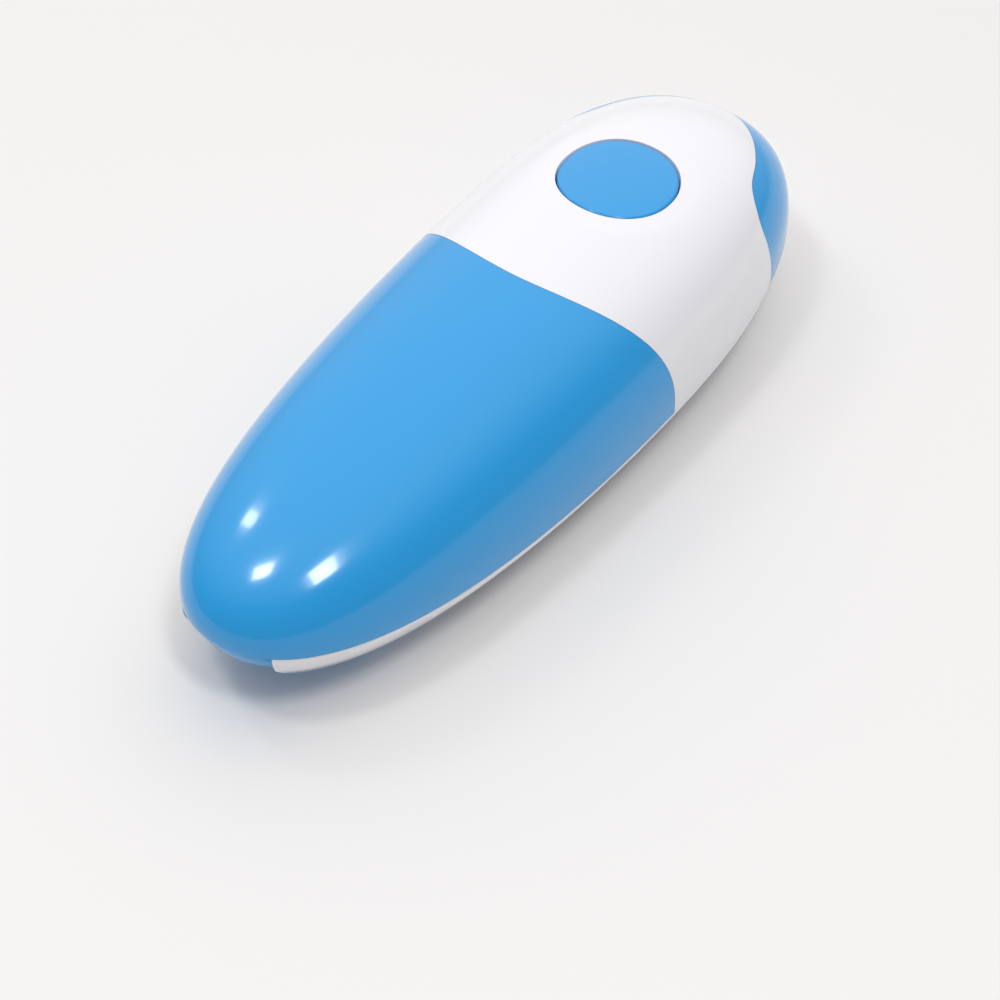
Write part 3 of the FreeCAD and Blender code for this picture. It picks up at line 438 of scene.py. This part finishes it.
def make_materials():
    return {
        "white_plastic": plastic("white_plastic", WHITE, 0.16, 0.5),
        "blue_plastic": plastic("blue_plastic", BLUE, 0.16, 0.4),
        "black_plastic": matt("black_plastic", (0.02, 0.02, 0.022), 0.4),
        "gear_nylon": matt("gear_nylon", (0.78, 0.76, 0.70), 0.45),
        "plate_steel": metal("plate_steel", (0.62, 0.63, 0.65), 0.3),
        "hard_steel": metal("hard_steel", (0.55, 0.56, 0.58), 0.22),
        "bright_metal": metal("bright_metal", (0.78, 0.78, 0.78), 0.18),
        "brass": metal("brass", (0.80, 0.60, 0.28), 0.28),
        "board": matt("board", (0.03, 0.16, 0.07), 0.45),
        "cell_wrap": plastic("cell_wrap", (0.06, 0.065, 0.075), 0.3, 0.2),
    }


# ---- covers ---------------------------------------------------------------------------------
def row_crowding(reach, edge_reach, plain):
    """DOME_POWER where a ray ends on the outline, fading to plain where it ends on a seam, inside."""
    inside = np.clip((edge_reach - reach) / SEAM_FADE, 0, 1)
    return DOME_POWER + (plain - DOME_POWER) * inside


def make_tail_cover(materials):
    outer = outline_line()
    seam = seam_line(-HALF_GAP)
    corners = corner_directions(TAIL_CENTRE, seam, outer)
    directions = directions_through(corners, 300, lambda angle: math.cos(angle) > 0)
    edge_reach = ray_reach(TAIL_CENTRE, directions, outer)
    reach = np.minimum(edge_reach, ray_reach(TAIL_CENTRE, directions, seam))
    crowding = row_crowding(reach, edge_reach, 1.3)
    cover = polar_cover("tail_cover_skin", TAIL_CENTRE, reach, directions, None, 56, crowding,
                        materials, "blue_plastic")
    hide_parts("tail_cover")
    round_edges(cover)


def make_upper_housing(materials):
    outer = outline_line()
    seam = seam_line(HALF_GAP)
    cap = cap_line(0.0)
    corners = corner_directions(BUTTON_CENTRE, seam, outer) + corner_directions(BUTTON_CENTRE, cap, outer)
    directions = directions_through(sorted(corners), 360, lambda angle: abs(math.sin(angle)) < 0.5)
    edge_reach = ray_reach(BUTTON_CENTRE, directions, outer)
    reach = np.minimum(edge_reach, ray_reach(BUTTON_CENTRE, directions, seam))
    reach = np.minimum(reach, ray_reach(BUTTON_CENTRE, directions, cap))
    hole_line = button_line(BUTTON_GAP, np.linspace(0, 2 * math.pi, 2001))
    hole = ray_reach(np.zeros(2), directions, hole_line)
    crowding = row_crowding(reach, edge_reach, 1.2)
    cover = polar_cover("upper_housing_skin", BUTTON_CENTRE, reach, directions, hole, 72, crowding,
                        materials, "white_plastic")
    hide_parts("upper_housing")
    round_edges(cover)


def make_front_cap(materials):
    """Band round the nose: the skin runs from the cap's inner edge down to the parting edge."""
    outer = outline_line()
    inner_line = cap_line(2 * HALF_GAP)
    corners = corner_directions(CROWN_CENTRE, inner_line, outer)
    low, high = corners[0], corners[-1]
    directions = np.append(crowded(low, high, 180, DOME_POWER), high)
    start = ray_reach(CROWN_CENTRE, directions, inner_line)
    stop = ray_reach(CROWN_CENTRE, directions, outer)
    start = np.minimum(start, stop - LEAST_SKIN)
    rows = 22
    outer_skin, inner_skin, _ = dome_skins(CROWN_CENTRE, directions, start, stop, rows, DOME_POWER)
    columns = len(directions)
    half = rows * columns
    points = list(outer_skin.reshape(-1, 3)) + list(inner_skin.reshape(-1, 3))
    faces = grid_faces(rows, columns, False, flip=True)
    faces += grid_faces(rows, columns, False, offset=half)
    border = list(range(columns))
    border += [r * columns + columns - 1 for r in range(1, rows)]
    border += [(rows - 1) * columns + c for c in range(columns - 2, -1, -1)]
    border += [r * columns for r in range(rows - 2, 0, -1)]
    for a, b in zip(border, border[1:] + border[:1]):
        faces.append((a, b, half + b, half + a))
    cap = new_piece("front_cap_skin", points, faces, materials, "blue_plastic", "housing")
    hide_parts("front_cap")
    round_edges(cap)


def button_ring(grow, angle):
    return button_line(grow, angle) + BUTTON_CENTRE


def shrunk_ring(ring, share):
    """A ring round the button's centre, at a share of its size."""
    return (ring - BUTTON_CENTRE) * share + BUTTON_CENTRE


def level_ring(ring, z):
    return np.concatenate([ring, np.full((len(ring), 1), z)], axis=1)


def button_rings(top, under, angle):
    """Rings from the middle of the top, down the side, round the flange and back up underneath."""
    rings = []
    for share in np.linspace(0.04, 1, 20):
        rings.append(top.lift(shrunk_ring(button_ring(-BUTTON_RIM, angle), share)))
    for turn in np.linspace(0, math.pi / 2, 8)[1:]:
        ring = top.lift(button_ring(-BUTTON_RIM + BUTTON_RIM * math.sin(turn), angle))
        ring[:, 2] -= BUTTON_RIM * (1 - math.cos(turn))
        rings.append(ring)
    side = button_ring(0.0, angle)
    flange = button_ring(FLANGE_WIDTH, angle)
    inside = button_ring(-BUTTON_WALL, angle)
    rings.append(level_ring(side, BUTTON_SIDE_Z))
    rings.append(level_ring(side, FLANGE_HIGH))
    rings.append(level_ring(flange, FLANGE_HIGH))
    rings.append(level_ring(flange, FLANGE_LOW))
    rings.append(level_ring(inside, FLANGE_LOW))
    for share in np.linspace(1, 0.04, 8):
        rings.append(under.lift(shrunk_ring(inside, share)))
    return rings


def make_button(materials):
    """Button cap with a softly rounded rim, a flange below the housing and a hollow underneath."""
    top = Dome(DISH_DEPTH - BUTTON_PROUD)
    under = Dome(BUTTON_THICKNESS)
    angle = np.linspace(0, 2 * math.pi, 144, endpoint=False)
    rings = button_rings(top, under, angle)
    points = [point for ring in rings for point in ring]
    columns = len(angle)
    faces = grid_faces(len(rings), columns, True)
    points.append(top.lift(BUTTON_CENTRE[None])[0])
    points.append(under.lift(BUTTON_CENTRE[None])[0])
    last = (len(rings) - 1) * columns
    for c in range(columns):
        n = (c + 1) % columns
        faces.append((len(points) - 2, n, c))
        faces.append((len(points) - 1, last + c, last + n))
    faces = [tuple(reversed(face)) for face in faces]
    button = new_piece("power_button_cap", points, faces, materials, "blue_plastic", "button")
    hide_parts("power_button")


# ---- springs -----------------------------------------------------------------------------------
def wire_piece(name, path, materials, body):
    """Round wire along a path of points, closed at both ends."""
    sides = 12
    along = np.gradient(path, axis=0)
    along /= np.linalg.norm(along, axis=1, keepdims=True)
    across = np.cross(along[0], [0.0, 0.0, 1.0])
    if np.linalg.norm(across) < 0.1:
        across = np.cross(along[0], [0.0, 1.0, 0.0])
    turn = np.linspace(0, 2 * math.pi, sides, endpoint=False)[:, None]
    points = []
    for middle, direction in zip(path, along):
        across = across - direction * np.dot(across, direction)
        across /= np.linalg.norm(across)
        upright = np.cross(direction, across)
        points.extend(middle + WIRE_RADIUS * (np.cos(turn) * across + np.sin(turn) * upright))
    faces = grid_faces(len(path), sides, True)
    last = (len(path) - 1) * sides
    faces.append(tuple(reversed(range(sides))))
    faces.append(tuple(range(last, last + sides)))
    return new_piece(name, points, faces, materials, "bright_metal", body)


def make_contact_coil(name, x_from, direction, y, materials):
    """Cone of spring wire with a flat turn at each end, which presses on a cell."""
    t = np.linspace(0, 1, 220)
    angle = 2 * math.pi * COIL_TURNS * t
    radius = COIL_WIDE + (COIL_NARROW - COIL_WIDE) * t
    rise = COIL_HEIGHT * np.clip((t - 0.2) / 0.6, 0, 1)
    x = x_from + direction * (WIRE_RADIUS + rise)
    path = np.stack([x, y + radius * np.cos(angle), CELL_Z + radius * np.sin(angle)], axis=-1)
    coil = wire_piece(name + "_wire", path, materials, "housing")
    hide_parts(name)


def make_carrier_spring(materials):
    """Turns of wire round the carrier's pivot, ending in a straight leg."""
    angle = np.linspace(SPRING_END - SPRING_TURNS * 2 * math.pi, SPRING_END, 120)
    x = PIVOT_X + SPRING_RADIUS * np.cos(angle)
    y = PIVOT_Y + SPRING_RADIUS * np.sin(angle)
    turns = np.stack([x, y, np.linspace(SPRING_LOW, SPRING_HIGH, 120)], axis=-1)
    length = np.linspace(WIRE_RADIUS, SPRING_LEG, 24)[:, None]
    leg = turns[-1] + length * np.array([-math.sin(SPRING_END), math.cos(SPRING_END), 0.0])
    path = np.concatenate([turns, leg])
    spring = wire_piece("carrier_spring_wire", path, materials, "carrier")
    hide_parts("carrier_spring")


# ---- carried-over CAD nodes --------------------------------------------------------------------
def join_cad_faces(node):
    """Merges the points that neighbouring faces of a CAD mesh have in the same place."""
    weld = node.modifiers.new("joined_faces", "WELD")
    weld.merge_threshold = 0.00001


def dress_cad_nodes(materials):
    for entry in frame["record"]["subparts"]:
        node = frame["nodes"][entry["node"]]
        slot = entry["material_slot"]
        node.data.materials.clear()
        node.data.materials.append(materials[slot])


# ---- stage ---------------------------------------------------------------------------------------
def make_floor():
    far = FLOOR_HALF
    mesh = bpy.data.meshes.new("floor")
    mesh.from_pydata([(-far, -far, 0), (far, -far, 0), (far, far, 0), (-far, far, 0)], [], [(0, 1, 2, 3)])
    floor = bpy.data.objects.new("floor", mesh)
    bpy.context.scene.collection.objects.link(floor)
    material, shader = new_material("pale_floor", FLOOR_COLOUR)
    shader.inputs["Roughness"].default_value = 0.6
    mesh.materials.append(material)


def make_camera():
    data = bpy.data.cameras.new("camera")
    data.lens = CAMERA_LENS
    data.sensor_width = CAMERA_SENSOR
    data.shift_x, data.shift_y = CAMERA_SHIFT
    camera = bpy.data.objects.new("camera", data)
    camera.location = CAMERA_AT
    rotation = (CAMERA_TARGET - CAMERA_AT).to_track_quat("-Z", "Y").to_matrix()
    camera.rotation_euler = rotation.to_euler()
    camera.rotation_euler.rotate_axis("Z", CAMERA_ROLL)
    bpy.context.scene.collection.objects.link(camera)
    bpy.context.scene.camera = camera


def make_softbox(name, offset, width, height, power):
    """Rectangular lamp that stands at offset from the point it lights."""
    data = bpy.data.lights.new(name, "AREA")
    data.shape = "RECTANGLE"
    data.size = width
    data.size_y = height
    data.energy = power
    lamp = bpy.data.objects.new(name, data)
    lamp.location = LAMPS_TARGET + offset
    lamp.rotation_euler = (LAMPS_TARGET - lamp.location).to_track_quat("-Z", "Y").to_euler()
    bpy.context.scene.collection.objects.link(lamp)


def make_lights():
    make_softbox("left_window", Vector((0.10, 0.81, 0.88)), 0.08, 0.18, 0.7)
    make_softbox("middle_window", Vector((-0.22, 0.355, 1.126)), 0.16, 0.20, 2.0)
    make_softbox("right_window", Vector((-0.104, -0.398, 1.127)), 0.18, 0.32, 3.3)


def make_world():
    """Studio surround: a broad soft glow above and beyond the object, and a dim room elsewhere."""
    world = bpy.data.worlds.new("studio")
    world.use_nodes = True
    tree = world.node_tree
    background = tree.nodes["Background"]
    background.inputs["Color"].default_value = GLOW_COLOUR
    place = tree.nodes.new("ShaderNodeTexCoord")
    towards = tree.nodes.new("ShaderNodeVectorMath")
    towards.operation = "DOT_PRODUCT"
    towards.inputs[1].default_value = GLOW_DIRECTION
    glow = tree.nodes.new("ShaderNodeMapRange")
    glow.interpolation_type = "SMOOTHSTEP"
    glow.inputs["From Min"].default_value = GLOW_EDGE
    glow.inputs["From Max"].default_value = 1.0
    glow.inputs["To Min"].default_value = ROOM_STRENGTH
    glow.inputs["To Max"].default_value = GLOW_STRENGTH
    tree.links.new(place.outputs["Generated"], towards.inputs[0])
    tree.links.new(towards.outputs["Value"], glow.inputs["Value"])
    tree.links.new(glow.outputs["Result"], background.inputs["Strength"])
    bpy.context.scene.world = world


def main():
    materials = make_materials()
    dress_cad_nodes(materials)
    make_tail_cover(materials)
    make_upper_housing(materials)
    make_front_cap(materials)
    make_button(materials)
    make_contact_coil("contact_coil_tail", TAIL_CONTACT_X, 1, CELL_Y, materials)
    make_contact_coil("contact_coil_front", FRONT_CONTACT_X, -1, -CELL_Y, materials)
    make_carrier_spring(materials)
    for name in ("lower_housing", "battery_door"):
        join_cad_faces(frame["nodes"][name])
    make_floor()
    make_camera()
    make_world()
    make_lights()
    bpy.context.scene.view_settings.view_transform = "Standard"


main()
